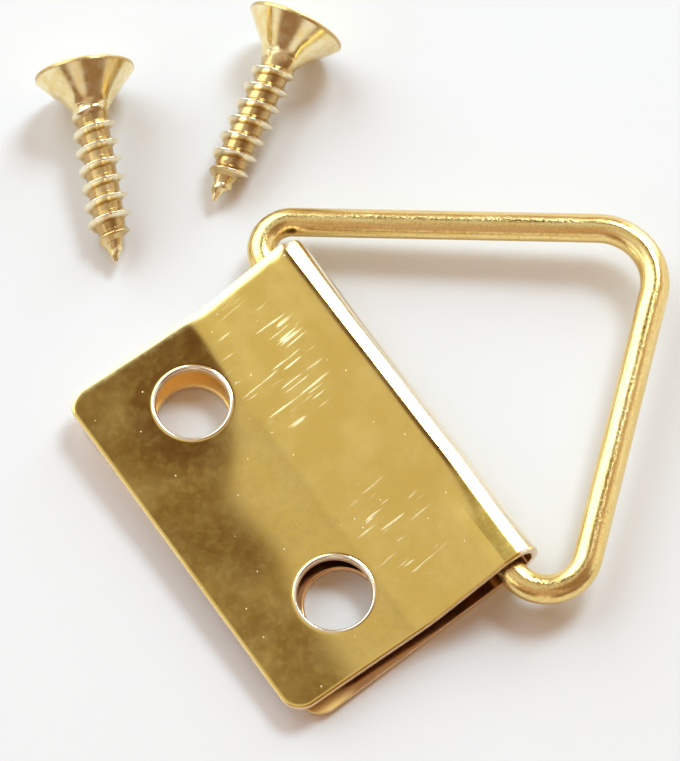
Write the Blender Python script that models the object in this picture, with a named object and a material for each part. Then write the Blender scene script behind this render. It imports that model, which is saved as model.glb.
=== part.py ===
# Hinged picture hanger: a strip of thin sheet folded round a triangular wire ring, with its wood screws.
# The origin lies on the mounting face, midway between the screw holes. +X runs along the hinge,
# +Y towards the ring's tip and +Z out of the front leaf. Lengths are in metres.
import math

import bmesh
import bpy
from mathutils import Matrix, Vector

MM = 0.001

# Strap: one strip, folded into a back leaf, a rolled knuckle and a front leaf
SHEET_THICKNESS = 0.5 * MM
STRAP_WIDTH = 23.4 * MM
FRONT_LEAF_LENGTH = 15.0 * MM  # hinge axis to the free end
BACK_LEAF_LENGTH = 14.4 * MM
LEAF_GAP = 1.2 * MM  # clear space between the leaves at the free end
RAMP_LENGTH = 5.4 * MM  # hinge axis to the bend where the front leaf levels out
BEND_RADIUS = 7.0 * MM
CORNER_RADIUS = 1.3 * MM
EDGE_ROUND = 0.12 * MM  # rolled-over edge that shearing leaves
BACK_LEAF_SKEW = math.radians(2.1)  # the fold runs a little out of square

# Screw holes, punched through both leaves
HOLE_DIAMETER = 4.25 * MM
HOLE_SPACING = 14.2 * MM
HOLE_TO_AXIS = 9.0 * MM
HOLE_RIM_ROUND = 0.3 * MM  # punching draws the sheet in round each hole

# Ring: bent wire whose ends meet inside the knuckle
WIRE_DIAMETER = 1.72 * MM
KNUCKLE_PLAY = 0.57 * MM  # radial space round the wire inside the knuckle
RING_END_PLAY = 0.13 * MM  # straight base of the ring beyond each side of the strap
RING_BASE_ANGLE = math.radians(51.5)
LEFT_CORNER_RADIUS = 1.8 * MM
RIGHT_CORNER_RADIUS = 2.4 * MM
TIP_CORNER_RADIUS = 3.4 * MM
WIRE_END_GAP = 0.4 * MM
RING_SHIFT = 0.08 * MM  # the loose ring lies off centre along the hinge
RING_DROP = 0.25 * MM  # and back from the knuckle's centre, towards the leaves
RING_YAW = math.radians(1.1)
RING_TILT = math.radians(2.0)

# Screws: countersunk wood screws with a cross recess
SCREW_LENGTH = 12.0 * MM
HEAD_DIAMETER = 6.0 * MM
HEAD_LAND = 0.25 * MM  # height of the head's rim
HEAD_FLARE = 0.18 * MM  # hollow of the cone under the head
NECK_DIAMETER = 2.3 * MM
NECK_LENGTH = 0.9 * MM
THREAD_DIAMETER = 2.7 * MM
POINT_LENGTH = 2.4 * MM
POINT_DIAMETER = 0.3 * MM
RECESS_SPAN = 3.3 * MM
RECESS_DEPTH = 1.3 * MM
RECESS_ARM = 0.85 * MM
RECESS_TAPER = 0.55  # size of the recess's floor against its mouth
SCREW_TO_STRAP = 5.9 * MM  # strap's side to the tips of the screws lying beside it
SCREW_REST = {  # tip's distance behind the hinge axis, and heading of the shank in plan
    "wood_screw_left": (7.35 * MM, math.radians(-25.1)),
    "wood_screw_right": (0.37 * MM, math.radians(-60.3)),
}

# How finely round shapes are divided
KNUCKLE_STEPS = 26
BEND_STEPS = 5
CORNER_STEPS = 6
EDGE_STEPS = 2
HOLE_SIDES = 40
RIM_STEPS = 3
FILLET_STEPS = 10
WIRE_BEVEL_RESOLUTION = 6
SCREW_SIDES = 28

# Derived sizes
WIRE_RADIUS = WIRE_DIAMETER / 2
KNUCKLE_RADIUS = WIRE_RADIUS + KNUCKLE_PLAY + SHEET_THICKNESS  # outside
KNUCKLE_MID_RADIUS = KNUCKLE_RADIUS - SHEET_THICKNESS / 2
FRONT_LEAF_TOP = 2 * SHEET_THICKNESS + LEAF_GAP
AXIS = Vector((0.0, HOLE_TO_AXIS, KNUCKLE_RADIUS))  # middle of the knuckle
CUT_MARGIN = SHEET_THICKNESS


def clear_scene():
    for obj in list(bpy.data.objects):
        bpy.data.objects.remove(obj, do_unlink=True)


def make_brass(name, colour, roughness):
    material = bpy.data.materials.new(name)
    material.use_nodes = True
    shader = material.node_tree.nodes["Principled BSDF"]
    shader.inputs["Base Color"].default_value = (*colour, 1.0)
    shader.inputs["Roughness"].default_value = roughness
    shader.inputs["Metallic"].default_value = 1.0
    return material


def add_object(name, data, material=None):
    obj = bpy.data.objects.new(name, data)
    bpy.context.scene.collection.objects.link(obj)
    if material:
        data.materials.append(material)
    return obj


def loft(name, rings):
    """Mesh of one closed solid through rings of equally many points, capped at both ends."""
    bm = bmesh.new()
    rows = [[bm.verts.new(point) for point in ring] for ring in rings]
    count = len(rows[0])
    for low, high in zip(rows, rows[1:]):
        for i in range(count):
            j = (i + 1) % count
            bm.faces.new((low[i], low[j], high[j], high[i]))
    bm.faces.new(rows[0])
    bm.faces.new(rows[-1])
    bmesh.ops.recalc_face_normals(bm, faces=bm.faces)
    mesh = bpy.data.meshes.new(name)
    bm.to_mesh(mesh)
    bm.free()
    mesh.shade_smooth()
    mesh.set_sharp_from_angle(angle=math.radians(35))
    return mesh


def turned(name, profile, sides):
    """Solid of revolution about X through (distance along the axis, radius) pairs."""
    rings = []
    for along, radius in profile:
        angles = [2 * math.pi * k / sides for k in range(sides)]
        rings.append([(along, radius * math.cos(a), radius * math.sin(a)) for a in angles])
    return loft(name, rings)


def cut(obj, cutter):
    cutter.hide_render = True
    cutter.display_type = "WIRE"
    modifier = obj.modifiers.new(cutter.name, "BOOLEAN")
    modifier.operation = "DIFFERENCE"
    modifier.solver = "EXACT"
    modifier.object = cutter


def steps(start, end, count):
    return [start + (end - start) * k / count for k in range(count + 1)]


def skew_back_leaf(x, y, share):
    """Point (x, y) measured from the knuckle's middle, turned in plan by this share of the skew."""
    angle = BACK_LEAF_SKEW * share
    turned_x = x * math.cos(angle) - y * math.sin(angle)
    turned_y = x * math.sin(angle) + y * math.cos(angle)
    return turned_x, turned_y


def end_insets():
    """Distances from a leaf's free end at which its rounded corners are sampled."""
    return [CORNER_RADIUS * (1 - math.cos(a)) for a in steps(0, math.pi / 2, CORNER_STEPS)]


def ramp_angle():
    """Slope of the front leaf between the knuckle, which it leaves on a tangent, and its bend."""
    fall = FRONT_LEAF_TOP - SHEET_THICKNESS / 2 - KNUCKLE_RADIUS
    reach = math.hypot(RAMP_LENGTH, fall)
    to_bend = math.atan2(fall, -RAMP_LENGTH)
    return to_bend % (2 * math.pi) - math.acos(KNUCKLE_MID_RADIUS / reach) - math.pi / 2


def fold_path():
    """Stations along the middle of the sheet: y and z from the hinge axis, the angle of the outward
    normal, the share of the skew, and the distance to the free end."""
    back_z = SHEET_THICKNESS / 2 - KNUCKLE_RADIUS
    front_z = FRONT_LEAF_TOP - SHEET_THICKNESS / 2 - KNUCKLE_RADIUS
    slope = ramp_angle()
    stations = []
    for inset in end_insets():
        stations.append((inset - BACK_LEAF_LENGTH, back_z, -math.pi / 2, 1.0, inset))
    for a in steps(-math.pi / 2, math.pi / 2 + slope, KNUCKLE_STEPS):
        y = KNUCKLE_MID_RADIUS * math.cos(a)
        z = KNUCKLE_MID_RADIUS * math.sin(a)
        stations.append((y, z, a, max(0.0, -math.sin(a)), CORNER_RADIUS))
    bend_y = -RAMP_LENGTH - BEND_RADIUS * math.tan(slope / 2)
    for a in steps(math.pi / 2 + slope, math.pi / 2, BEND_STEPS):
        y = bend_y - BEND_RADIUS * math.cos(a)
        z = front_z + BEND_RADIUS * (1 - math.sin(a))
        stations.append((y, z, a, 0.0, CORNER_RADIUS))
    for inset in reversed(end_insets()):
        stations.append((inset - FRONT_LEAF_LENGTH, front_z, math.pi / 2, 0.0, inset))
    return stations


def sheet_section(inset):
    """Outline of the strip's cross-section, across and through the sheet, this far from a free end."""
    in_corner = CORNER_RADIUS - min(inset, CORNER_RADIUS)
    half_width = STRAP_WIDTH / 2 - CORNER_RADIUS + math.sqrt(CORNER_RADIUS**2 - in_corner**2)
    in_edge = EDGE_ROUND - min(inset, EDGE_ROUND)
    half_sheet = SHEET_THICKNESS / 2 - EDGE_ROUND + math.sqrt(EDGE_ROUND**2 - in_edge**2)
    points = []
    for quarter in range(4):
        for a in steps(quarter * math.pi / 2, (quarter + 1) * math.pi / 2, EDGE_STEPS):
            across_side = 1 if quarter in (0, 3) else -1
            through_side = 1 if quarter in (0, 1) else -1
            across = across_side * (half_width - EDGE_ROUND) + EDGE_ROUND * math.cos(a)
            through = through_side * (half_sheet - EDGE_ROUND) + EDGE_ROUND * math.sin(a)
            points.append((across, through))
    return points


def hole_cutter(name, centre, top):
    """Punch for one hole through a leaf, flaring to a rounded rim at the leaf's top face."""
    radius = HOLE_DIAMETER / 2
    profile = [(top - SHEET_THICKNESS - CUT_MARGIN / 2, radius)]
    for a in steps(0, math.radians(66), RIM_STEPS):
        depth = HOLE_RIM_ROUND * (1 - math.sin(a))
        profile.append((top - depth, radius + HOLE_RIM_ROUND * (1 - math.cos(a))))
    profile.append((top + CUT_MARGIN / 20, radius + 1.1 * HOLE_RIM_ROUND))
    profile.append((top + CUT_MARGIN / 2, radius + 1.1 * HOLE_RIM_ROUND))
    mesh = turned(name, profile, HOLE_SIDES)
    cutter = add_object(name, mesh)
    cutter.rotation_euler = (0.0, -math.pi / 2, 0.0)
    cutter.location = (centre[0], centre[1], 0.0)
    return cutter


def make_strap(material):
    rings = []
    for y, z, normal, share, inset in fold_path():
        ring = []
        for across, through in sheet_section(inset):
            out_y = y + through * math.cos(normal)
            out_z = z + through * math.sin(normal)
            flat_x, flat_y = skew_back_leaf(across, out_y, share)
            ring.append(AXIS + Vector((flat_x, flat_y, out_z)))
        rings.append(ring)
    strap = add_object("strap_plate", loft("strap_plate", rings), material)
    for side, label in ((-1, "left"), (1, "right")):
        x = side * HOLE_SPACING / 2
        y = -HOLE_TO_AXIS
        back_x, back_y = skew_back_leaf(x, y, 1.0)
        cut(strap, hole_cutter(f"front_punch_{label}", (x, AXIS.y + y), FRONT_LEAF_TOP))
        cut(strap, hole_cutter(f"back_punch_{label}", (back_x, AXIS.y + back_y), SHEET_THICKNESS))
    return strap


def rounded_corner(before, corner, after, radius):
    """Points of the arc that rounds a corner of a path in the plane z = 0."""
    to_before = (before - corner).normalized()
    to_after = (after - corner).normalized()
    half = to_before.angle(to_after) / 2
    centre = corner + (to_before + to_after).normalized() * radius / math.sin(half)
    start = corner + to_before * radius / math.tan(half) - centre
    sweep = math.pi - 2 * half
    turn = math.copysign(1.0, to_after.cross(to_before).z)
    return [centre + Matrix.Rotation(turn * a, 3, "Z") @ start for a in steps(0.0, sweep, FILLET_STEPS)]


def make_ring(material):
    straight = STRAP_WIDTH / 2 + RING_END_PLAY
    right = Vector((straight + RIGHT_CORNER_RADIUS / math.tan(RING_BASE_ANGLE / 2), 0.0, 0.0))
    left = Vector((-straight - LEFT_CORNER_RADIUS / math.tan(RING_BASE_ANGLE / 2), 0.0, 0.0))
    height = (right - left).length / 2 * math.tan(RING_BASE_ANGLE)
    tip = (left + right) / 2 + Vector((0.0, height, 0.0))
    end = Vector((WIRE_END_GAP / 2, 0.0, 0.0))
    path = [end]
    path += rounded_corner(end, right, tip, RIGHT_CORNER_RADIUS)
    path += rounded_corner(right, tip, left, TIP_CORNER_RADIUS)
    path += rounded_corner(tip, left, -end, LEFT_CORNER_RADIUS)
    path.append(-end)
    curve = bpy.data.curves.new("triangle_ring", "CURVE")
    curve.dimensions = "3D"
    curve.bevel_depth = WIRE_RADIUS
    curve.bevel_resolution = WIRE_BEVEL_RESOLUTION
    curve.use_fill_caps = True
    spline = curve.splines.new("POLY")
    spline.points.add(len(path) - 1)
    for point, place in zip(spline.points, path):
        point.co = (*place, 1.0)
    ring = add_object("triangle_ring", curve, material)
    ring.location = AXIS + Vector((RING_SHIFT, -RING_DROP, 0.0))
    ring.rotation_euler = (RING_TILT, 0.0, RING_YAW)
    return ring


def screw_mesh():
    head = HEAD_DIAMETER / 2
    neck = NECK_DIAMETER / 2
    thread = THREAD_DIAMETER / 2
    cone_end = HEAD_LAND + head - neck
    cone_middle = (HEAD_LAND + cone_end) / 2
    thread_start = cone_end + NECK_LENGTH
    profile = [(0.0, head - HEAD_LAND / 2), (HEAD_LAND / 2, head), (HEAD_LAND, head)]
    profile.append((cone_middle, (head + neck) / 2 - HEAD_FLARE))
    profile.append((cone_end + HEAD_FLARE, neck))
    profile.append((thread_start, neck))
    profile.append((thread_start + thread - neck, thread))
    profile.append((SCREW_LENGTH - POINT_LENGTH, thread))
    profile.append((SCREW_LENGTH, POINT_DIAMETER / 2))
    return turned("wood_screw", profile, SCREW_SIDES)


def recess_mesh():
    """Cross-shaped taper that sinks into the head's face."""
    rings = []
    for along, size in ((-RECESS_DEPTH / 4, 1.0), (0.0, 1.0), (RECESS_DEPTH, RECESS_TAPER)):
        reach = size * RECESS_SPAN / 2
        arm = size * RECESS_ARM / 2
        quarter = [Vector((reach, arm)), Vector((arm, arm)), Vector((arm, reach))]
        ring = []
        for turn in range(4):
            spin = Matrix.Rotation(turn * math.pi / 2, 2)
            ring += [spin @ point for point in quarter]
        rings.append([(along, point.x, point.y) for point in ring])
    return loft("cross_recess", rings)


def make_screws(material):
    """Both screws lie on the strap's own surface, touching it at the head's rim and the thread's end."""
    screw = screw_mesh()
    recess = recess_mesh()
    head = HEAD_DIAMETER / 2
    thread = THREAD_DIAMETER / 2
    lean = math.atan2(head - thread, SCREW_LENGTH - POINT_LENGTH - HEAD_LAND)
    height = head * math.cos(lean) + HEAD_LAND * math.sin(lean)
    for name, (behind_axis, heading) in SCREW_REST.items():
        tip = Vector((-STRAP_WIDTH / 2 - SCREW_TO_STRAP, AXIS.y - behind_axis, height))
        shank = SCREW_LENGTH * math.cos(lean) * Vector((math.cos(heading), math.sin(heading), 0.0))
        obj = add_object(name, screw)
        obj.location = tip - shank
        obj.rotation_euler = (0.0, lean, heading)
        cutter = add_object(f"{name}_recess", recess)
        cutter.parent = obj
        cut(obj, cutter)
    screw.materials.append(material)


clear_scene()
make_strap(make_brass("strap_brass", (0.70, 0.52, 0.19), 0.24))
make_ring(make_brass("wire_brass", (0.72, 0.53, 0.22), 0.34))
make_screws(make_brass("screw_brass", (0.76, 0.60, 0.30), 0.28))
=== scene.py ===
import math

import bmesh
import bpy
import numpy as np
from mathutils import Matrix, Vector


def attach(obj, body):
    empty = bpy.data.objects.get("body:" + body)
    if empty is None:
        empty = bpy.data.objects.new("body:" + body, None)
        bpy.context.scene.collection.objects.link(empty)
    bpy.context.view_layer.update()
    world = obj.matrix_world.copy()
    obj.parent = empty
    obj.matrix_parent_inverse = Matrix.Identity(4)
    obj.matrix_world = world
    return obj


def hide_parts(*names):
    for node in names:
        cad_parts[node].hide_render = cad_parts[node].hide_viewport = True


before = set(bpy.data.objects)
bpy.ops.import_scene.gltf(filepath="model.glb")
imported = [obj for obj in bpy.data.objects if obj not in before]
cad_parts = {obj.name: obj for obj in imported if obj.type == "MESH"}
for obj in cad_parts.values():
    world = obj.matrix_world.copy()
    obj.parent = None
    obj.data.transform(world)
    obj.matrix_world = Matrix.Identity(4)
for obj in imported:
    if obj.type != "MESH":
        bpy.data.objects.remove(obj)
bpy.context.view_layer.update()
mm = 0.001
print("frame loaded:", sorted(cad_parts))

# camera

cameraSet = dict(
    azimuth=54.52, elevation=67.82, roll=0.08,  # degrees
    distance=182.25, target=(-4.013, 8.285, 0.0),  # millimetres
    lens=146.69, sensorHeight=36, clipStart=0.01)


def placeCamera(c):
    # looks at the target from an azimuth and elevation, with a small roll about the line of sight
    azimuth, elevation, roll = (math.radians(c[k]) for k in ("azimuth", "elevation", "roll"))
    level = math.cos(elevation)
    back = Vector((math.sin(azimuth) * level, -math.cos(azimuth) * level, math.sin(elevation)))
    flat = Vector((math.cos(azimuth), math.sin(azimuth), 0))
    rise = back.cross(flat)
    right = flat * math.cos(roll) + rise * math.sin(roll)
    turn = Matrix((right, back.cross(right), back)).transposed().to_4x4()
    place = (Vector(c["target"]) + back * c["distance"]) * mm
    data = bpy.data.cameras.new("camera")
    data.sensor_fit = "VERTICAL"
    data.sensor_height = c["sensorHeight"]
    data.lens = c["lens"]
    data.clip_start = c["clipStart"]
    camera = bpy.data.objects.new("camera", data)
    camera.matrix_world = Matrix.Translation(place) @ turn
    bpy.context.scene.collection.objects.link(camera)
    bpy.context.scene.camera = camera


placeCamera(cameraSet)
bpy.context.scene.view_settings.view_transform = "Standard"
print("camera placed")

# mesh tools


def gridFaces(rows, columns, start, wrap):
    # quads between neighbouring rows and columns; wrap joins the last column to the first
    row = np.arange(rows - 1)[:, None] * columns
    low = np.arange(columns if wrap else columns - 1)[None, :]
    high = (low + 1) % columns
    corners = [row + low, row + high, row + columns + high, row + columns + low]
    return start + np.stack(corners, -1).reshape(-1, 4)


def makeSkin(name, patches, attribute, sharpAngle):
    # joins patches of (points, own coordinates, painted highlight, wrap), with points as rows x columns x 3
    # in millimetres
    mergeWithin, thinnest = 2e-7, 1e-9  # metres
    places, coordinates, sheens, faces = [], [], [], []
    start = 0
    for points, own, sheen, wrap in patches:
        rows, columns = points.shape[:2]
        places.append(points.reshape(-1, 3))
        coordinates.append(own.reshape(-1, 3))
        sheens.append(np.broadcast_to(sheen, (rows, columns)).ravel())
        faces.append(gridFaces(rows, columns, start, wrap))
        start += rows * columns
    mesh = bpy.data.meshes.new(name)
    mesh.from_pydata(np.concatenate(places) * mm, [], np.concatenate(faces).tolist())
    layer = mesh.attributes.new(attribute, "FLOAT_VECTOR", "POINT")
    layer.data.foreach_set("vector", np.concatenate(coordinates).astype(np.float32).ravel())
    layer = mesh.attributes.new("sheen", "FLOAT", "POINT")
    layer.data.foreach_set("value", np.concatenate(sheens).astype(np.float32))
    bm = bmesh.new()
    bm.from_mesh(mesh)
    bmesh.ops.remove_doubles(bm, verts=bm.verts, dist=mergeWithin)
    bmesh.ops.dissolve_degenerate(bm, edges=bm.edges, dist=thinnest)
    bmesh.ops.recalc_face_normals(bm, faces=bm.faces)
    bm.to_mesh(mesh)
    bm.free()
    mesh.shade_smooth()
    mesh.set_sharp_from_angle(angle=math.radians(sharpAngle))
    piece = bpy.data.objects.new(name, mesh)
    bpy.context.scene.collection.objects.link(piece)
    return piece


def pieceLines(ends, counts):
    # evenly spaced values within each of several neighbouring bands
    return [np.linspace(low, high, count + 1) for low, high, count in zip(ends, ends[1:], counts)]


def roundOff(distance, width, depth):
    # quarter ellipse: how far a face has fallen at this distance in from its edge
    inside = 1 - np.minimum(distance, width) / width
    return depth * (1 - np.sqrt(1 - inside**2))


def smoothStep(low, high, value):
    # 0 below low, 1 above high, eased between by 3 t squared less 2 t cubed
    t = np.clip((value - low) / (high - low), 0, 1)
    return t * t * (3 - 2 * t)


def softRamp(value, width):
    # the width times the log of 1 plus e to the value over the width:
    # nought well below 0, the value itself well above
    return width * np.logaddexp(0, value / width)


def turnPair(first, second, angle):
    # turns a pair of coordinates about their origin
    return first * np.cos(angle) - second * np.sin(angle), first * np.sin(angle) + second * np.cos(angle)


# strap: one strip of sheet, folded

strap = dict(  # millimetres, unless a note says otherwise
    width=23.4, sheet=0.5, front=15.0, back=14.4, gap=1.2, ramp=5.4, bend=7.0, corner=1.3,
    skew=math.radians(2.1), knuckle=1.93, hole=2.125, holeSpacing=14.2, holeToAxis=9.0,
    leftRoll=(0.8, 0.1), rightRoll=(0.2, 0.07), endRoll=(0.16, 0.1),  # width and depth of the rolled edges
    frontRim=0.15, backRim=0.14, burr=0.04,  # rounding of the holes' edges and of the inner edges
    bead=0.04, beadAt=0.13, beadWidth=0.08,  # raised ring round each front hole
    wave=0.006,
    ripples=(  # share of the wave, rates across and along, phase
        (1.0, 0.9, 0.55, 0.4), (0.8, -0.71, 0.62, 2.1), (0.6, 1.7, -0.35, 1.0)),
    dish=0.03, dishReach=3.1,
    ridge=0.24, ridgeAt=-0.45, ridgeSoft=0.03, ridgeBefore=0.7, ridgeAfter=2.2,  # the knuckle's soft corner
    crease=0.012, creaseAt=0.3, creaseWidth=0.12,
    press=0.42, pressEase=1.5, pressed=(4, 10),  # flattened top, which comes in towards the right end
    sink=math.radians(3.5), sinkFrom=3.4, sinkSoft=0.55, sinkSlant=(0.26, -0.18, 1.0),  # low right side
    sinkSteps=((4.7, -9, 0.5), (0.5, 4, 9)),  # its line's way off from the hinge between two places across
    cornerSink=0.25, cornerFrom=-1, cornerAlong=(3, 8.2),
    # painted highlight amounts: hole rims, cut walls, top edges (doubled on the left where light falls, none
    # on the right) and knuckle
    rimSheen=0.7, rimSheenFade=(0.16, 0.26), wallSheen=0.6, edgeSheen=0.1, foldSheen=0.75,
    foldSheenAt=(58, 76, 157, 166),  # degrees round the knuckle at which its painted highlight comes in and dies away
    square=3.2, fan=8, sharp=50,  # half side of a hole's square, steps round an outline corner, degrees
    acrossCells=(1, 28, 24, 28, 1), alongCells=(2, 28, 14, 110, 24, 8, 28, 5),  # in each band of the strip
    holeColumns=(1, 3), holeRows=(1, 6),  # bands that hold the holes
    rimRows=(0, 0.015, 0.04, 0.08, 0.12, 0.17, 0.22, 0.27, 0.32, 0.42, 0.6),  # out from a hole
    edgeRows=(0, 0.012, 0.03, 0.06, 0.1, 0.15, 0.2, 0.26, 0.32, 0.38, 0.46, 0.55, 0.65, 0.75, 0.85, 1.0))


def foldMarks(c):
    # lengths along the strip at which back leaf, knuckle, ramp, bend and front leaf end
    mid = c["knuckle"] - c["sheet"] / 2
    rise = 1.5 * c["sheet"] + c["gap"] - c["knuckle"]
    reach = math.hypot(c["ramp"], rise)
    slope = math.atan2(rise, -c["ramp"]) % (2 * math.pi) - math.acos(mid / reach) - math.pi / 2
    ease = c["bend"] * math.tan(slope / 2)
    lengths = [c["back"], mid * (math.pi + slope), math.sqrt(reach**2 - mid**2) - ease]
    lengths += [c["bend"] * slope, c["front"] - c["ramp"] - ease]
    return mid, rise, slope, ease, np.cumsum(lengths)


def holeLine(c):
    # length along the strip at which the front leaf's holes lie
    *_, ease, marks = foldMarks(c)
    return marks[3] + c["holeToAxis"] - c["ramp"] - ease


def topLine(c):
    # length along the strip at which the knuckle's top lies: half a turn past the back leaf
    mid, *_, marks = foldMarks(c)
    return marks[0] + math.pi * mid


def foldSheet(c, u, s, n):
    # carries (across, along, off the middle) of the flat strip round the fold:
    # straight, arc, straight, arc, straight
    mid, rise, slope, ease, marks = foldMarks(c)
    around = np.clip((s - marks[0]) / mid, 0, math.pi + slope) - math.pi / 2
    left = slope - np.clip((s - marks[2]) / c["bend"], 0, slope)
    normal = np.where(s < marks[1], around, math.pi / 2 + left)
    onRamp, onFlat = s - marks[1], s - marks[3]
    stretches = [s < marks[0], s < marks[1], s < marks[2], s < marks[3]]
    y = np.select(
        stretches,
        [s - marks[0], mid * np.cos(around), -mid * math.sin(slope) - onRamp * math.cos(slope),
         -c["ramp"] - ease + c["bend"] * np.sin(left)],
        -c["ramp"] - ease - onFlat)
    z = np.select(
        stretches,
        [-mid, mid * np.sin(around), mid * math.cos(slope) - onRamp * math.sin(slope),
         rise + c["bend"] * (1 - np.cos(left))],
        rise)
    fading = np.where(s < marks[1], np.maximum(0, -np.sin(around)), 0)
    turn = c["skew"] * np.where(s < marks[0], 1, fading)
    x, y = turnPair(u, y + n * np.cos(normal), turn)
    return np.stack([x, y + c["holeToAxis"], z + n * np.sin(normal) + c["knuckle"]], -1)


def sheetWave(c, u, s):
    # slow ripples left by rolling and folding, as a sum of three sines,
    # and the dish that the punch leaves round one hole
    ripple = 0
    for share, across, along, phase in c["ripples"]:
        ripple = ripple + share * np.sin(across * u + along * s + phase)
    away = np.hypot(u + c["holeSpacing"] / 2, s - holeLine(c))
    return c["wave"] * ripple - c["dish"] * np.exp(-((away / c["dishReach"]) ** 6))


def knuckleForm(c, u, s):
    # the ramp runs on past the top to a soft corner and the knuckle eases back from there to its round;
    # towards the right end the top is pressed flat instead, which leaves a corner on each side of it
    fromTop = s - topLine(c)
    past = fromTop - c["ridgeAt"]
    before = (np.hypot(past, c["ridgeSoft"]) + past) / 2
    after = (np.hypot(past, c["ridgeSoft"]) - past) / 2
    corner = c["ridge"] * np.exp(-before / c["ridgeBefore"] - (after / c["ridgeAfter"]) ** 2)
    crease = c["crease"] * np.exp(-(((fromTop - c["creaseAt"]) / c["creaseWidth"]) ** 2))
    off = np.abs(fromTop)
    flat = np.minimum(off, c["press"]) ** 2 / (2 * foldMarks(c)[0])
    flat = flat * np.exp(-np.maximum(off - c["press"], 0) / c["pressEase"])
    pressed = smoothStep(*c["pressed"], u)
    return (corner - crease) * (1 - pressed) + flat * pressed


def leafSink(c, u, s):
    # the front leaf's right side goes on sinking past the bend as far as a slanting line, where the slope
    # dies away, and its ramp is steeper there
    y = holeLine(c) - s
    line = c["sinkFrom"]
    for step, low, high in c["sinkSteps"]:
        line = line - step * smoothStep(low, high, u)
    slope = softRamp(c["sinkFrom"] - y, c["sinkSoft"]) - softRamp(line - y, c["sinkSoft"])
    steeper = smoothStep(c["cornerFrom"], c["width"] / 2, u) * (1 - smoothStep(*c["cornerAlong"], y))
    return c["sink"] * slope + c["cornerSink"] * steeper


def sheetPatch(c, u, s, n, sheen, wrap):
    # folds a patch of the strip, then lowers the sinking side along a slant that keeps its outline square
    points = foldSheet(c, u, s, n + sheetWave(c, u, s) + knuckleForm(c, u, s))
    points = points - leafSink(c, u, s)[..., None] * np.array(c["sinkSlant"])
    return points, np.stack([u, s, n], -1), sheen, wrap


def plainCells(c, uBands, sBands):
    # level cells of the strip as (across, along, outer face, inner face, painted highlight, wrap),
    # with a square left out round each hole
    half = c["sheet"] / 2
    cells = []
    for i, us in enumerate(uBands):
        for j, ss in enumerate(sBands):
            if i in c["holeColumns"] and j in c["holeRows"]:
                continue
            u, s = np.meshgrid(us, ss)
            cells.append((u, s, np.full(u.shape, half), np.full(u.shape, -half), 0 * u, False))
    return cells


def holeRing(c, us, ss, centre, outer, inner, bead):
    # rows of points that grow from a hole's circle to the square round it; both faces round off into the hole
    half = c["sheet"] / 2
    uSteps, sSteps = len(us) - 1, len(ss) - 1
    u = np.concatenate([us[:-1], np.full(sSteps, us[-1]), us[:0:-1], np.full(sSteps, us[0])]) - centre[0]
    s = np.concatenate([np.full(uSteps, ss[0]), ss[:-1], np.full(uSteps, ss[-1]), ss[:0:-1]]) - centre[1]
    far = np.hypot(u, s)
    close = c["hole"] + np.array(c["rimRows"])[:, None]
    share = np.linspace(0, 1, 8)[1:, None]
    radius = np.concatenate([close + 0 * far, close[-1] * (1 - share) + far * share])
    distance = radius - c["hole"]
    top = half - roundOff(distance, outer, outer)
    top = top + bead * np.exp(-(((distance - c["beadAt"]) / c["beadWidth"]) ** 2))
    bottom = -half + roundOff(distance, inner, inner)
    # painted highlight on the rounded rim, fading out from the hole's edge
    sheen = c["rimSheen"] * (1 - smoothStep(*c["rimSheenFade"], distance))
    return centre[0] + u / far * radius, centre[1] + s / far * radius, top, bottom, sheen, True


def outlineStrip(c, us, ss):
    # a strip along the whole outline, fanned round its four corners; each side rolls over by its own amount
    half = c["sheet"] / 2
    sides = [(us, ss[0]), (us[-1], ss), (us[::-1], ss[-1]), (us[0], ss[::-1])]
    u, s, angle = [], [], []
    for k, (sideU, sideS) in enumerate(sides):
        count = max(np.size(sideU), np.size(sideS))
        turned = np.full(count + c["fan"] - 1, -math.pi / 2 + k * math.pi / 2)
        turned[count - 1:] += np.linspace(0, math.pi / 2, c["fan"] + 1)[:-1]
        u.append(np.append(np.broadcast_to(sideU, count), np.full(c["fan"] - 1, np.ravel(sideU)[-1])))
        s.append(np.append(np.broadcast_to(sideS, count), np.full(c["fan"] - 1, np.ravel(sideS)[-1])))
        angle.append(turned)
    u, s, angle = (np.concatenate(x) for x in (u, s, angle))
    inset = np.array([*c["edgeRows"], c["corner"]])[:, None] + 0 * angle
    onLeft = np.minimum(np.cos(angle), 0) ** 2
    onRight = np.maximum(np.cos(angle), 0) ** 2
    onEnd = np.sin(angle) ** 2
    width = c["leftRoll"][0] * onLeft + c["rightRoll"][0] * onRight + c["endRoll"][0] * onEnd
    depth = c["leftRoll"][1] * onLeft + c["rightRoll"][1] * onRight + c["endRoll"][1] * onEnd
    top = half - roundOff(inset, width, depth)
    bottom = -half + roundOff(inset, c["burr"], c["burr"])
    # painted highlight along the rolled edges: doubled on the left side where the light falls, none on the
    # right
    sheen = c["edgeSheen"] * (1 + onLeft - onRight) * (1 - smoothStep(0.3 * width, width, inset))
    out = c["corner"] - inset
    return u + np.cos(angle) * out, s + np.sin(angle) * out, top, bottom, sheen, True


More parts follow.
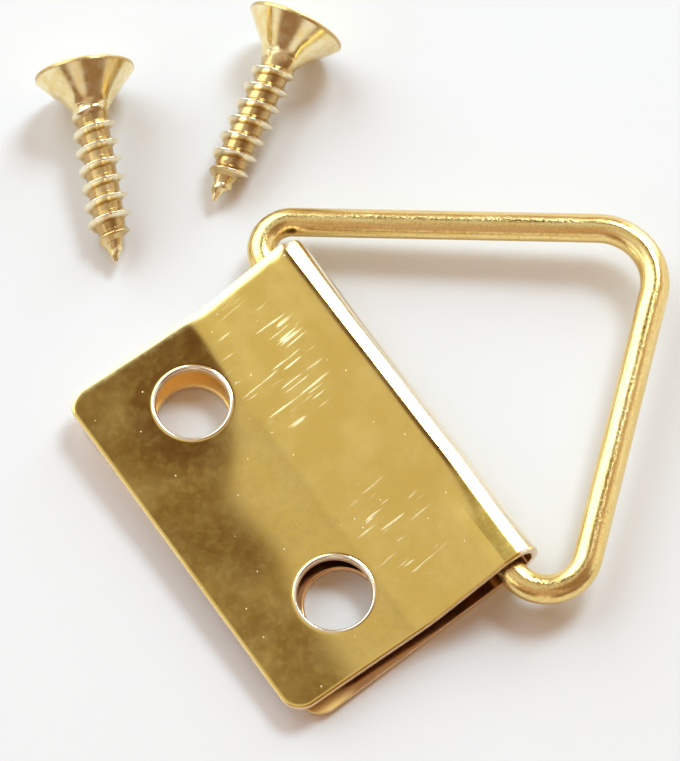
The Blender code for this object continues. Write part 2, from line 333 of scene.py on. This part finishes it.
def strapPatches(c):
    # the flat strip's two faces in cells, rings round the holes and a strip along the outline, with walls
    # that close the holes and the outline, all carried round the fold
    mid, *_, marks = foldMarks(c)
    edge = c["width"] / 2 - c["corner"]
    holeU, square = c["holeSpacing"] / 2, c["square"]
    backS, frontS = c["back"] - c["holeToAxis"], holeLine(c)
    uEnds = [-edge, -holeU - square, -holeU + square, holeU - square, holeU + square, edge]
    uBands = pieceLines(uEnds, c["acrossCells"])
    sEnds = [c["corner"], backS - square, backS + square, *marks[:3]]
    sEnds += [frontS - square, frontS + square, marks[4] - c["corner"]]
    sBands = pieceLines(sEnds, c["alongCells"])
    backBand, frontBand = (sBands[j] for j in c["holeRows"])
    rims = []
    for i, centreU in zip(c["holeColumns"], (-holeU, holeU)):
        rims.append(holeRing(c, uBands[i], backBand, (centreU, backS), c["backRim"], c["backRim"], 0.0))
        rims.append(holeRing(c, uBands[i], frontBand, (centreU, frontS), c["frontRim"], c["burr"], c["bead"]))
    rims.append(outlineStrip(c, np.unique(np.concatenate(uBands)), np.unique(np.concatenate(sBands))))
    comesIn, sheened, fades, gone = c["foldSheenAt"]
    patches = []
    for u, s, top, bottom, sheen, wrap in plainCells(c, uBands, sBands) + rims:
        turned = np.degrees((s - marks[0]) / mid)
        # painted highlight over the knuckle's outer flank
        folded = c["foldSheen"] * smoothStep(comesIn, sheened, turned) * (1 - smoothStep(fades, gone, turned))
        patches.append(sheetPatch(c, u, s, top, np.maximum(sheen, folded), wrap))
        patches.append(sheetPatch(c, u, s, bottom, 0.0, wrap))
    share = np.linspace(0, 1, 5)[:, None]
    # painted highlight on the cut walls: none in the four holes, full on the outline's
    wallSheens = [0.0] * 4 + [c["wallSheen"]]  # four holes, then the outline
    for (u, s, top, bottom, *_), sheen in zip(rims, wallSheens):
        n = top[0] * (1 - share) + bottom[0] * share
        patches.append(sheetPatch(c, u[0] + 0 * n, s[0] + 0 * n, n, sheen, True))
    return patches


strapPiece = makeSkin("strapSheet", strapPatches(strap), "sheet", strap["sharp"])
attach(strapPiece, "strap")
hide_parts("strap_plate")
print("strap:", len(strapPiece.data.polygons), "faces")

# ring: one wire bent to a triangle

ring = dict(  # millimetres; wire is its radius, left, right and tip the corners' radii, sharp in degrees
    wire=0.86, straight=11.83, angle=math.radians(51.5), left=1.8, right=2.4, tip=3.4, gap=0.4,
    place=(0.08, 8.75, 1.93), yaw=math.radians(1.1), tilt=math.radians(2.0), endRound=0.09,
    around=56, arcSteps=41, runStep=0.3, lastSteps=40, sharp=60)


def ringPath(c):
    # straight runs joined by arcs that touch both runs; a corner's arc starts
    # its radius over the tangent of half its angle short of the corner
    right = np.array([c["straight"] + c["right"] / math.tan(c["angle"] / 2), 0.0])
    left = np.array([-c["straight"] - c["left"] / math.tan(c["angle"] / 2), 0.0])
    tip = (left + right) / 2 + np.array([0, (right - left)[0] / 2 * math.tan(c["angle"])])
    end = np.array([c["gap"] / 2, 0.0])
    corners = ((end, right, tip, c["right"]), (right, tip, left, c["tip"]), (tip, left, -end, c["left"]))
    points, at = [], end
    for before, corner, after, radius in corners:
        toBefore, toAfter = ((p - corner) / np.linalg.norm(p - corner) for p in (before, after))
        half = math.acos(toBefore @ toAfter) / 2
        middle = (toBefore + toAfter) / np.linalg.norm(toBefore + toAfter)
        centre = corner + middle * radius / math.sin(half)
        start = corner + toBefore * radius / math.tan(half)
        sweep = np.linspace(0, math.pi - 2 * half, c["arcSteps"])[:, None]
        spoke = start - centre
        across = np.array([-spoke[1], spoke[0]])
        arc = centre + spoke * np.cos(sweep) + across * np.sin(sweep)
        runSteps = max(2, int(np.linalg.norm(start - at) / c["runStep"]))
        run = np.linspace(0, 1, runSteps)[:-1, None]
        points += [at + (start - at) * run, arc[:-1]]
        at = arc[-1]
    points.append(at + (-end - at) * np.linspace(0, 1, c["lastSteps"])[:, None])
    return np.concatenate(points)


def ringPatches(c):
    # a circle carried along the path, rounded over and drawn in to a point at each cut end
    path = ringPath(c)
    ahead = np.gradient(path, axis=0)
    ahead /= np.linalg.norm(ahead, axis=1)[:, None]
    length = np.append(0, np.cumsum(np.linalg.norm(np.diff(path, axis=0), axis=1)))
    cap = np.linspace(0, math.pi / 2, 5)[1:]
    capIn = np.append(c["wire"] - c["endRound"] * (1 - np.cos(cap)), [c["wire"] / 2, 0])
    capOut = np.append(c["endRound"] * np.sin(cap), [c["endRound"]] * 2)
    first = path[0] - ahead[0] * capOut[::-1, None]
    last = path[-1] + ahead[-1] * capOut[:, None]
    path = np.concatenate([first, path, last])
    rows = len(capIn)
    ahead = np.concatenate([np.repeat(ahead[:1], rows, 0), ahead, np.repeat(ahead[-1:], rows, 0)])
    radius = np.concatenate([capIn[::-1], np.full(len(length), c["wire"]), capIn])[:, None]
    length = np.concatenate([-capOut[::-1], length, length[-1] + capOut])[:, None]
    turn = np.linspace(0, 2 * math.pi, c["around"], endpoint=False)[None, :]
    out, up = radius * np.cos(turn), radius * np.sin(turn)
    x, y = path[:, :1] + ahead[:, 1:] * out, path[:, 1:] - ahead[:, :1] * out
    y, z = turnPair(y, up, c["tilt"])
    x, y = turnPair(x, y, c["yaw"])
    points = np.stack([x, y, z], -1) + np.array(c["place"])
    return [(points, np.stack([length + 0 * out, out, up], -1), 0.0, True)]


ringPiece = makeSkin("ringWire", ringPatches(ring), "wire", ring["sharp"])
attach(ringPiece, "ring")
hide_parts("triangle_ring")
print("ring:", len(ringPiece.data.polygons), "faces")

# wood screws

screw = dict(  # millimetres; head, neck, core, crest and tip are radii, sharp is in degrees
    length=12.0, head=3.0, land=0.25, rimRound=0.1, neck=1.2, cone=0.9, fillet=0.14, core=0.93, crest=1.35,
    pitch=1.12, threadStart=1.85, threadIn=1.7, pointLength=2.4, tip=0.1, crestFlat=0.03, flank=0.3,
    pointCurve=1.25, crestCurve=1.15, crestTip=0.12, tipReach=0.02,
    recessReach=1.65, recessArm=0.42, recessDepth=1.3, recessTaper=0.55, recessPoint=0.25, recessLip=0.012,
    rows=380, toStrap=5.9, sharp=40,
    lying={  # body, node, tip's distance from the hinge axis towards the leaves, heading in degrees, own turn
        "screwLeft": ("screw_left", "wood_screw_left", 7.35, -25.1, 0.3),
        "screwRight": ("screw_right", "wood_screw_right", 0.37, -60.3, 2.2)})


def recessOutline(c):
    # radius of a cross with square ends, over angles that fall on its corners
    arm = math.atan2(c["recessArm"], c["recessReach"])
    keys = [0, arm, math.pi / 4, math.pi / 2 - arm, math.pi / 2]
    quarter = np.concatenate([band[:-1] for band in pieceLines(keys, [4, 10, 10, 4])])
    turn = np.concatenate([quarter + k * math.pi / 2 for k in range(4)])
    inQuarter = np.abs((turn + math.pi / 4) % (math.pi / 2) - math.pi / 4)
    armEnd = c["recessReach"] / np.cos(inQuarter)
    armSide = c["recessArm"] / np.sin(np.maximum(inQuarter, 1e-6))
    return turn, np.where(inQuarter <= arm + 1e-9, armEnd, armSide)


def coneEnd(c):
    # distance along the axis at which the head's cone is down to the neck
    return c["land"] + (c["head"] - c["neck"]) / c["cone"]


def headRows(c, outline):
    # rows of (distance along the axis, radius) from the recess's floor out over the head and down its cone
    depth, taper = c["recessDepth"], c["recessTaper"]
    face = c["head"] - c["rimRound"]
    rows = []
    for share in (0, 0.5, 0.94, 1):
        rows.append((depth + c["recessPoint"] * (1 - share), share * taper * outline))
    for share in (0.08, 0.5, 0.92, 0.985):
        rows.append((depth * (1 - share), (taper + (1 - taper) * share) * outline))
    for share in (0, 0.03, 0.2, 0.5, 0.8, 1):
        lip = c["recessLip"] * (share == 0)
        rows.append((lip, outline * (1 - share) * (1 + c["recessLip"]) + share * face))
    for bend in np.linspace(0, math.pi / 2, 5)[1:]:
        rows.append((c["rimRound"] * (1 - math.cos(bend)), face + c["rimRound"] * math.sin(bend)))
    rows.append((c["land"], c["head"]))
    for x in np.linspace(c["land"], coneEnd(c), 26)[1:]:
        over = c["head"] - c["cone"] * (x - c["land"]) - c["neck"]
        rows.append((x, c["neck"] + softRamp(over, c["fillet"])))
    return rows


def shankRows(c, turn):
    # a core that narrows to the point, with a ridge where the turn and the distance along it agree
    along = np.linspace(coneEnd(c), c["length"], c["rows"])[1:]
    toPoint = np.clip((along - c["length"] + c["pointLength"]) / c["pointLength"], 0, 1)
    start = smoothStep(c["threadStart"], c["threadStart"] + c["threadIn"], along)
    neck = c["neck"] + softRamp((coneEnd(c) - along) * c["cone"], c["fillet"])
    coreIn, crestIn = toPoint ** c["pointCurve"], toPoint ** c["crestCurve"]
    core = (neck + (c["core"] - neck) * start) * (1 - coreIn) + c["tip"] * coreIn
    crest = c["crest"] * (1 - crestIn) + c["crestTip"] * crestIn
    phase = (along[:, None] - c["threadStart"]) / c["pitch"] - turn[None, :] / (2 * math.pi)
    off = np.abs(phase % 1 - 0.5) * c["pitch"]
    ridge = np.clip(1 - (off - c["crestFlat"]) / c["flank"], 0, 1) * start[:, None]
    ridge = np.where(phase > 0, ridge, 0)
    return along, core[:, None] + np.maximum(crest - core, 0)[:, None] * ridge


def screwPatches(c, behind, heading, spin):
    # the turned shape, leaned until head rim and thread both touch the floor, then swung to its heading
    turn, outline = recessOutline(c)
    head = headRows(c, outline)
    along, shank = shankRows(c, turn)
    x = np.concatenate([[row[0] for row in head], along, [c["length"] + c["tipReach"]]])
    radius = np.concatenate([np.array([row[1] + 0 * turn for row in head]), shank, np.zeros((1, len(turn)))])
    own = np.stack([x[:, None] + 0 * radius, radius * np.cos(turn + spin), radius * np.sin(turn + spin)], -1)
    lean = math.atan2(c["head"] - c["crest"], c["length"] - c["pointLength"] - c["land"])
    height = c["head"] * math.cos(lean) + c["land"] * math.sin(lean)
    swing = math.radians(heading)
    turned = Matrix.Rotation(swing, 3, "Z") @ Matrix.Rotation(lean, 3, "Y")
    tip = np.array([-strap["width"] / 2 - c["toStrap"], strap["holeToAxis"] - behind, height])
    way = np.array([math.cos(swing), math.sin(swing), 0])
    place = tip - way * c["length"] * math.cos(lean)
    return [(own @ np.array(turned).T + place, own, 0.0, True)]


screwPieces = []
for name, (body, node, behind, heading, spin) in screw["lying"].items():
    piece = makeSkin(name, screwPatches(screw, behind, heading, spin), "turning", screw["sharp"])
    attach(piece, body)
    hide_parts(node)
    screwPieces.append(piece)
    print(name + ":", len(piece.data.polygons), "faces")

# materials


class Link:
    # one socket of a node tree; sums, differences and products of these add Math nodes
    def __init__(self, tree, socket=None):
        self.tree = tree
        self.socket = socket

    def node(self, kind, settings, sockets, out=0):
        # adds a node with its settings, then its sockets' values or links, and gives one of its outputs
        made = self.tree.nodes.new(kind)
        for name, value in settings.items():
            setattr(made, name, value)
        for name, value in sockets.items():
            if isinstance(value, Link):
                self.tree.links.new(value.socket, made.inputs[name])
            else:
                made.inputs[name].default_value = value
        return Link(self.tree, made.outputs[out])

    def maths(self, operation, first, second):
        # one Math node on two values
        return self.node("ShaderNodeMath", {"operation": operation}, {0: first, 1: second})

    def __add__(self, other):
        return self.maths("ADD", self, other)

    def __radd__(self, other):
        return self.maths("ADD", other, self)

    def __sub__(self, other):
        return self.maths("SUBTRACT", self, other)

    def __rsub__(self, other):
        return self.maths("SUBTRACT", other, self)

    def __mul__(self, other):
        return self.maths("MULTIPLY", self, other)

    def __rmul__(self, other):
        return self.maths("MULTIPLY", other, self)

    def larger(self, other):
        # whichever of two values is greater
        return self.maths("MAXIMUM", self, other)

    def band(self, low, high):
        # 0 at low, 1 at high, eased between
        sockets = {0: self, 1: low, 2: high, 3: 0.0, 4: 1.0}
        return self.node("ShaderNodeMapRange", {"interpolation_type": "SMOOTHSTEP"}, sockets)

    def mix(self, first, second):
        # blends two colours by this value; a plain colour is three numbers
        first, second = (v if isinstance(v, Link) else (*v, 1) for v in (first, second))
        return self.node("ShaderNodeMix", {"data_type": "RGBA"}, {0: self, 6: first, 7: second}, 2)

    def axes(self):
        # the three numbers of a vector
        return [self.node("ShaderNodeSeparateXYZ", {}, {0: self}, k) for k in range(3)]

    def noise(self, scale, detail, roughness):
        # cloudy noise over these coordinates
        sockets = {"Vector": self, "Scale": scale, "Detail": detail, "Roughness": roughness}
        return self.node("ShaderNodeTexNoise", {}, sockets)


def newMaterial(name):
    # a material, a link that makes its nodes, and its shader
    material = bpy.data.materials.new(name)
    material.use_nodes = True
    tree = material.node_tree
    return material, Link(tree), tree.nodes["Principled BSDF"]


shaderSockets = dict(
    colour="Base Color", roughness="Roughness", metallic="Metallic", normal="Normal",
    coat="Coat Weight", coatRoughness="Coat Roughness", specular="Specular IOR Level")


def plug(shader, **values):
    # links or sets the shader's sockets
    for name, value in values.items():
        socket = shader.inputs[shaderSockets[name]]
        if isinstance(value, Link):
            value.tree.links.new(value.socket, socket)
        else:
            socket.default_value = value


sheetFinish = dict(
    # the pale sheen colour is a painted highlight; inner and innerLit are painted shaded and lit copies of
    # the inside faces; cut is partly a painted reflection of the shadowed floor
    deep=(0.82, 0.56, 0.11), pale=(0.88, 0.63, 0.165), dull=(0.7, 0.5, 0.13), sheenPale=(0.98, 0.94, 0.85),
    scratch=(0.98, 0.88, 0.56), inner=(0.72, 0.41, 0.17), innerLit=(0.97, 0.68, 0.24), cut=(0.93, 0.72, 0.52),
    cloudScale=0.35, fineScale=2.2, speckScale=1.4, lineScale=(4.6, 0.36, 0.0), lineTurn=0.04,
    gloss=0.115, lacquer=0.8, lacquerGloss=0.06,
    scratched=((-6.0, 5.2, 4.8, 2.8), (6.2, 5.2, 3.6, 2.4)))  # middle across and above the holes, half sizes


def strapBrass(c):
    # lacquered brass sheet: cloudy tone, a pale painted highlight on edges, hole rims, walls and knuckle,
    # inside faces as a painted shaded copy with a paler, rougher painted lit copy where light gets in, cut
    # edges tinted pinkish partly by a painted reflection of the shadowed floor, two groups of scratches and
    # dust specks
    material, t, shader = newMaterial("polishedBrassSheet")
    flat = t.node("ShaderNodeAttribute", {"attribute_name": "sheet"}, {}, 1)
    sheened = t.node("ShaderNodeAttribute", {"attribute_name": "sheen"}, {}, 2)
    u, s, n = flat.axes()
    inside = 1 - n.band(-0.2, -0.1)  # the faces between the leaves and round the wire
    cut = (1 - n.band(0.15, 0.19)) * n.band(-0.22, -0.19)
    cloud = flat.noise(c["cloudScale"], 4.0, 0.6).band(0.35, 0.7)
    fine = flat.noise(c["fineScale"], 5.0, 0.65).band(0.4, 0.75)
    stretched = {"Vector": flat, "Rotation": (0, 0, c["lineTurn"]), "Scale": c["lineScale"]}
    lines = t.node("ShaderNodeMapping", {}, stretched).noise(1.0, 1.5, 0.5)
    where = 0.0
    for middleU, middleY, wide, long in c["scratched"]:
        offU = (u - middleU) * (1 / wide)
        offS = (s - (holeLine(strap) - middleY)) * (1 / long)
        where = where + (1 - (offU * offU + offS * offS).band(0.35, 1.2))
    scratch = lines.band(0.6, 0.67) * where
    scattered = {"Vector": flat, "Scale": c["speckScale"], "Randomness": 1.0}
    dots = t.node("ShaderNodeTexVoronoi", {}, scattered)
    chosen = t.node("ShaderNodeTexVoronoi", {}, scattered, 1)
    chosen = t.node("ShaderNodeSeparateColor", {}, {0: chosen}, 0)
    speck = (1 - dots.band(0.035, 0.1)) * chosen.band(0.42, 0.46)
    mark = scratch.larger(speck) * (1 - inside)
    # 1 where the inside faces take the painted shaded copy; near the left side and the back leaf's end they
    # take the painted lit copy
    unlit = u.band(-6.0, 3.0) * s.band(1.2, 3.4)  # away from the left side and the back leaf's end
    colour = cloud.mix(c["deep"], c["pale"])
    colour = (fine * 0.35).mix(colour, c["dull"])
    # inside faces: painted lit copy where light gets in, darker painted shaded copy elsewhere
    colour = inside.mix(colour, unlit.mix(c["innerLit"], c["inner"]))
    # painted highlight: pale where the highlight amount says
    colour = sheened.mix(colour, c["sheenPale"])
    # the cut walls' pinkish tint is partly a painted reflection of the shadowed floor
    colour = (cut * 0.7).mix(colour, c["cut"])
    colour = (mark * 0.85).mix(colour, c["scratch"])
    # rougher where the painted lit copy is
    litInside = inside * (1 - unlit)
    fromTop = s - topLine(strap)
    rubbedTop = u.band(4.0, 9.0) * (1 - (fromTop * fromTop).band(0.5, 1.6))
    roughness = c["gloss"] + 0.03 * cloud + 0.05 * fine + 0.07 * inside + 0.3 * litInside
    roughness = roughness + 0.1 * rubbedTop + 0.06 * sheened + 0.3 * cut + 0.3 * mark
    coat = c["lacquer"] * (1 - inside)
    plug(shader, colour=colour, metallic=1.0, roughness=roughness, coat=coat, coatRoughness=c["lacquerGloss"])
    return material


wireFinish = dict(
    deep=(0.88, 0.62, 0.21), pale=(0.96, 0.75, 0.33), dull=(0.6, 0.47, 0.16),
    lineScale=(0.35, 5.0, 5.0), grainScale=7.0, relief=0.35, reliefDepth=0.00002, gloss=0.13)


def wireBrass(c):
    # drawn wire: fine lines along its length, with grainy spots that are duller and rougher
    material, t, shader = newMaterial("satinBrassWire")
    drawn = t.node("ShaderNodeAttribute", {"attribute_name": "wire"}, {}, 1)
    along = t.node("ShaderNodeMapping", {}, {"Vector": drawn, "Scale": c["lineScale"]})
    lines = along.noise(1.0, 5.0, 0.6)
    grain = drawn.noise(c["grainScale"], 4.0, 0.65).band(0.45, 0.72)
    tone = lines.band(0.35, 0.65)
    raised = {"Strength": c["relief"], "Distance": c["reliefDepth"], "Height": lines + 0.5 * grain}
    bump = t.node("ShaderNodeBump", {}, raised)
    colour = (grain * 0.6).mix(tone.mix(c["deep"], c["pale"]), c["dull"])
    roughness = c["gloss"] + 0.07 * tone + 0.12 * grain
    plug(shader, colour=colour, metallic=1.0, roughness=roughness, normal=bump)
    return material


screwFinish = dict(
    # root is painted shade, crest a painted highlight, face a darker painted shade against the lamps' glare
    deep=(0.87, 0.68, 0.3), pale=(0.96, 0.84, 0.52), root=(0.46, 0.26, 0.07), crest=(0.98, 0.93, 0.78),
    face=(0.8, 0.57, 0.2), toneScale=1.5, gloss=0.13)


def screwBrass(c):
    # bright plating, with painted shade in the thread's roots and round the head's rim, a painted highlight
    # on the thread's crests, and the head's flat face duller and darkened as painted shade against the lamps'
    # glare
    material, t, shader = newMaterial("brightBrassScrew")
    turning = t.node("ShaderNodeAttribute", {"attribute_name": "turning"}, {}, 1)
    x, across, up = turning.axes()
    square = across * across + up * up
    radius = square.maths("POWER", square, 0.5)
    # painted shade in the thread's roots
    root = (1 - radius.band(0.95, 1.25)) * x.band(1.9, 2.6) * (1 - x.band(10.0, 11.6))
    # painted shade round the head's rim
    rim = radius.band(2.86, 2.95) * (1 - x.band(0.22, 0.32))
    dark = root.larger(rim)
    # painted highlight on the thread's crests
    crest = radius.band(1.05, 1.25) * x.band(2.4, 3.2)
    # painted shade on the head's flat face, against the lamps' glare
    face = 1 - x.band(0.05, 0.14)
    tone = turning.noise(c["toneScale"], 4.0, 0.6).band(0.35, 0.65)
    colour = (dark * 0.75).mix(tone.mix(c["deep"], c["pale"]), c["root"])
    colour = (crest * 0.6).mix(colour, c["crest"])
    colour = (face * 0.8).mix(colour, c["face"])
    roughness = c["gloss"] + 0.08 * tone + 0.1 * dark + 0.22 * face
    plug(shader, colour=colour, metallic=1.0, roughness=roughness)
    return material


strapPiece.data.materials.append(strapBrass(sheetFinish))
ringPiece.data.materials.append(wireBrass(wireFinish))
screwMaterial = screwBrass(screwFinish)
for piece in screwPieces:
    piece.data.materials.append(screwMaterial)
print("materials assigned")

# floor, light and surroundings

studio = dict(
    floor=(0.9, 0.9, 0.9), floorSize=0.6, floorDrop=2e-5,  # metres; floorSize is half its side
    lampDistance=1.2, lampTarget=(-0.004, 0.008, 0.0), lampColour=(0.685, 0.88, 1.0),
    lamps={
        "windowFar": dict(shape="ELLIPSE", way=(-0.27, 0.567, 0.778), size=(0.45, 0.36), power=7.2),
        "windowLeft": dict(shape="ELLIPSE", way=(-0.8, -0.14, 0.55), size=(1.4, 1.35), power=12.6),
        "panelFar": dict(shape="RECTANGLE", way=(-0.33, 0.93, 0.36), size=(0.44, 0.95), power=4.4),
        "panelNear": dict(shape="RECTANGLE", way=(-0.25, -0.8, 0.5), size=(1.0, 0.42), power=1.6)},
    ambient=(0.41, 0.235, 0.125),  # what dull surfaces receive; the rest is what the brass and the camera see
    overhead=(0.61, 0.455, 0.38), near=(0.73, 0.7, 0.67), nearAt=(-0.28, -0.22, 0.93),
    horizon=(0.97, 0.95, 0.93), horizonFade=(0.08, 0.42), wallAt=(0.45, 0.85, 0.22),
    nearReach=(42, 16), wallReach=(34, 18),  # degrees off the middle where each ends and where it is full
    shade=(0.125, 0.055, 0.05), shadeX=(-0.62, -0.42, -0.2, -0.12), shadeY=(0.09, 0.16, 0.38, 0.46),
    shadeZ=(0.5, 0.7), dark=(0.33, 0.21, 0.14), darkFront=(0.1, 0.3), darkTopFade=0.14,
    darkAt=(  # direction in plan, half width where it starts and ends to fade, height
        (0.99, -0.1, 0.3, 0.45, 0.42), (0.93, 0.37, 0.2, 0.4, 1.0), (0.352, -0.936, 0.25, 0.42, 0.42)))


def makeFloor(c):
    # one pale matt square just below the part, which keeps its shadow
    size, low = c["floorSize"], -c["floorDrop"]
    corners = [(-size, -size, low), (size, -size, low), (size, size, low), (-size, size, low)]
    mesh = bpy.data.meshes.new("floor")
    mesh.from_pydata(corners, [], [(0, 1, 2, 3)])
    floor = bpy.data.objects.new("floor", mesh)
    bpy.context.scene.collection.objects.link(floor)
    material, _, shader = newMaterial("paleFloor")
    plug(shader, colour=(*c["floor"], 1), roughness=0.9, metallic=0.0, specular=0.1)
    mesh.materials.append(material)


def makeLamps(c):
    # flat lamps at one distance from the part, each turned towards it
    for name, lampSet in c["lamps"].items():
        data = bpy.data.lights.new(name, "AREA")
        data.shape = lampSet["shape"]
        data.size, data.size_y = lampSet["size"]
        data.energy = lampSet["power"]
        data.color = c["lampColour"]
        lamp = bpy.data.objects.new(name, data)
        way = Vector(lampSet["way"]).normalized()
        lamp.location = Vector(c["lampTarget"]) + way * c["lampDistance"]
        lamp.rotation_euler = way.to_track_quat("Z", "Y").to_euler()
        bpy.context.scene.collection.objects.link(lamp)


def makeWorld(c):
    # a warm room that the brass mirrors: plain near side, white low down, a pale wall on the far right,
    # dark upright shapes on the right and near sides, and a dim patch overhead towards the far left
    world = bpy.data.worlds.new("room")
    bpy.context.scene.world = world
    world.use_nodes = True
    tree = world.node_tree
    t = Link(tree)
    way = t.node("ShaderNodeTexCoord", {}, {}, 0)
    x, y, z = way.axes()

    def facing(middle, outer, inner):
        # 1 within the inner angle of a direction, 0 past the outer one
        unit = tuple(Vector(middle).normalized())
        cosine = t.node("ShaderNodeVectorMath", {"operation": "DOT_PRODUCT"}, {0: way, 1: unit}, 1)
        return cosine.band(math.cos(math.radians(outer)), math.cos(math.radians(inner)))

    colour = facing(c["nearAt"], *c["nearReach"]).mix(c["overhead"], c["near"])
    colour = z.band(*c["horizonFade"]).mix(c["horizon"], colour)
    colour = facing(c["wallAt"], *c["wallReach"]).mix(colour, c["horizon"])
    for forwardX, forwardY, inner, outer, high in c["darkAt"]:
        ahead = x * forwardX + y * forwardY
        aside = x * -forwardY + y * forwardX
        aside = aside.maths("ABSOLUTE", aside, 0.0)
        below = 1 - z.band(high, high + c["darkTopFade"])
        shape = ahead.band(*c["darkFront"]) * (1 - aside.band(inner, outer)) * below
        colour = shape.mix(colour, c["dark"])
    shadeX, shadeY = c["shadeX"], c["shadeY"]
    dim = y.band(*shadeY[:2]) * (1 - y.band(*shadeY[2:])) * (1 - x.band(*shadeX[2:])) * x.band(*shadeX[:2])
    colour = (dim * z.band(*c["shadeZ"])).mix(colour, c["shade"])
    rays = ("Is Camera Ray", "Is Glossy Ray", "Is Transmission Ray")
    camera, glossy, through = (t.node("ShaderNodeLightPath", {}, {}, ray) for ray in rays)
    colour = (camera + glossy + through).mix(c["ambient"], colour)
    backdrop = tree.nodes["Background"]
    tree.links.new(colour.socket, backdrop.inputs["Color"])
    backdrop.inputs["Strength"].default_value = 1.0


makeFloor(studio)
makeLamps(studio)
makeWorld(studio)
print("studio lit")
